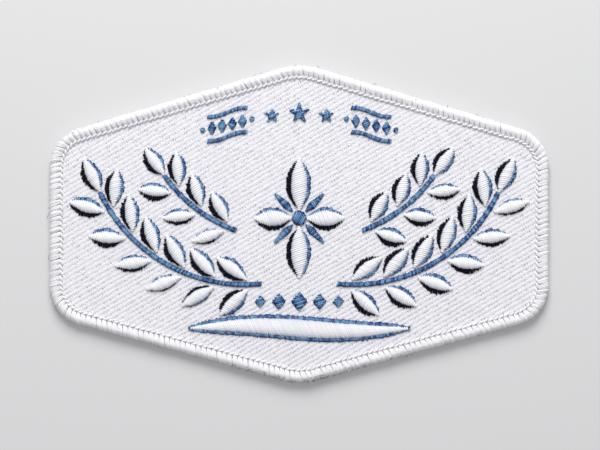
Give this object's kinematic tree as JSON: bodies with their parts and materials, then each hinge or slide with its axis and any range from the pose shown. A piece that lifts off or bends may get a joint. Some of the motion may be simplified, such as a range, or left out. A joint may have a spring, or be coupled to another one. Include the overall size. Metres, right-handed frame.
{
  "type": "embroidered patch",
  "caption": "Wide six-sided embroidered twill patch with a rounded merrowed border and raised white satin laurel and compass artwork edged in black and blue.",
  "frame": {"origin": "centre of the patch's bounding box, on the plane that its underside lies on", "axes": "+X to the right of the artwork along the longest side, +Y to the top of the artwork, +Z out of the embroidered face"},
  "size_m": [0.1016, 0.0644, 0.0026],
  "materials": {
    "white_twill": "matt twill weave",
    "white_border_yarn": "soft matt overlock yarn",
    "white_satin_thread": "satin thread sheen",
    "blue_satin_thread": "satin thread sheen",
    "black_satin_thread": "satin thread sheen"
  },
  "bodies": {
    "root": {"twill_ground": "white_twill", "merrow_border": "white_border_yarn", "star_centre": "blue_satin_thread", "star_left": "blue_satin_thread", "star_right": "blue_satin_thread", "bars_left": "blue_satin_thread", "bars_right": "blue_satin_thread", "diamonds_left": "blue_satin_thread", "diamonds_right": "blue_satin_thread", "diamonds_lower": "blue_satin_thread", "compass_petals": "white_satin_thread", "compass_black_edges": "black_satin_thread", "compass_blue_edges": "blue_satin_thread", "compass_rays": "blue_satin_thread", "compass_hub": "blue_satin_thread", "laurel_left_leaves": "white_satin_thread", "laurel_left_black_edges": "black_satin_thread", "laurel_left_blue_edges": "blue_satin_thread", "laurel_left_stems": "blue_satin_thread", "laurel_right_leaves": "white_satin_thread", "laurel_right_black_edges": "black_satin_thread", "laurel_right_blue_edges": "blue_satin_thread", "laurel_right_stems": "blue_satin_thread", "pennant_body": "white_satin_thread", "pennant_upper_edge": "blue_satin_thread", "pennant_lower_edge": "blue_satin_thread"}
  },
  "joints": []
}
